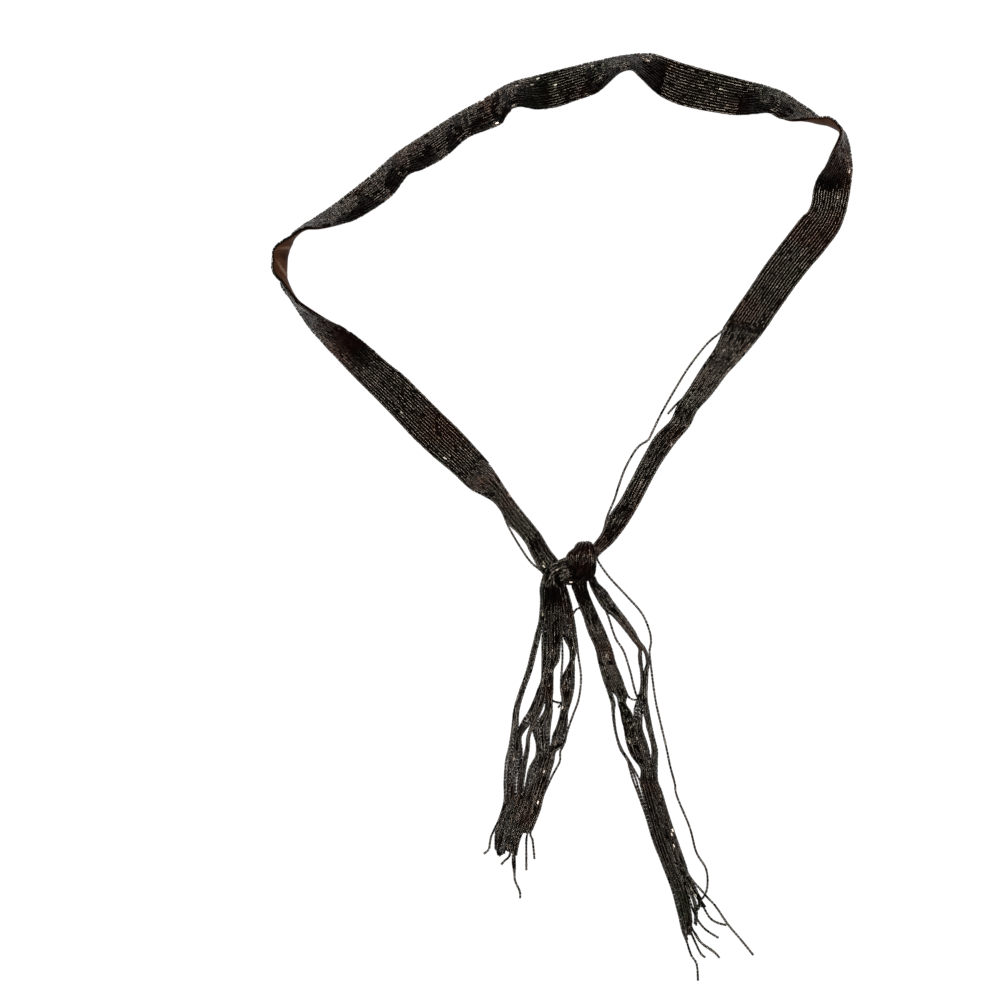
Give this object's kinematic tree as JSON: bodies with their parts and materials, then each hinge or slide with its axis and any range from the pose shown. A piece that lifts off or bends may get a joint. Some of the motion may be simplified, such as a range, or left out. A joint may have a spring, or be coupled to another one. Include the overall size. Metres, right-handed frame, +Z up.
{
  "type": "beaded hip sash",
  "caption": "Narrow beaded hip sash laid flat in a loop: a strip of bugle beads on brown silk, its beaded fringe ends tied in a half knot and hanging as tassels.",
  "frame": {"origin": "middle of the plan box, on the surface that the sash lies on", "axes": "+Z up from the surface, +Y from the knot and tassels towards the loop, +X to the right"},
  "size_m": [0.4066, 0.6504, 0.0233],
  "materials": {
    "beadwork": "glossy near-black glass bugle beads with a faint bronze and iris lustre",
    "lining": "brown silk satin with soft creases"
  },
  "bodies": {
    "root": {"band_lining": "lining", "band_face": "beadwork", "fringe_left_run": "beadwork", "fringe_right_run": "beadwork", "knot": "beadwork", "tassel_left": "beadwork", "tassel_left_lock": "beadwork", "tassel_right": "beadwork", "tassel_right_side": "beadwork", "strand_run_upper": "beadwork", "strand_run_lower": "beadwork", "strand_run_left": "beadwork", "strand_left_stray": "beadwork", "strand_right_inner": "beadwork", "strand_right_outer": "beadwork", "tip_left_1": "beadwork", "tip_left_2": "beadwork", "tip_left_3": "beadwork", "tip_left_4": "beadwork", "tip_left_5": "beadwork", "tip_right_1": "beadwork", "tip_right_2": "beadwork", "tip_right_3": "beadwork", "tip_right_4": "beadwork", "tip_right_5": "beadwork", "tip_right_6": "beadwork"}
  },
  "joints": []
}
